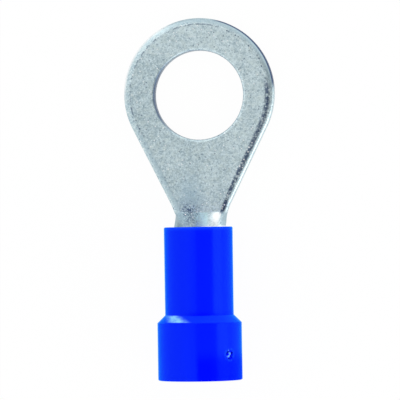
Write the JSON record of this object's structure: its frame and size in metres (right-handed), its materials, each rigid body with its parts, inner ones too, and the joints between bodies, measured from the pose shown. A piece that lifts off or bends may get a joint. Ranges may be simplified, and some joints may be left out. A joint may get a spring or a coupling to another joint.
{
  "type": "ring terminal",
  "caption": "Insulated ring terminal with a flat tinned ring tongue, a rolled crimp barrel and a blue plastic sleeve that widens to a bell at the wire end.",
  "frame": {"origin": "centre of the stud hole on the contact face", "axes": "+Y from the stud hole towards the tip of the ring, +Z along the stud hole out of the face that the barrel rises from"},
  "size_m": [0.011, 0.0263, 0.0061],
  "materials": {
    "tinned_copper": "satin",
    "blue_plastic": "gloss"
  },
  "bodies": {
    "root": {"terminal": "tinned_copper", "sleeve": "blue_plastic"}
  },
  "joints": []
}
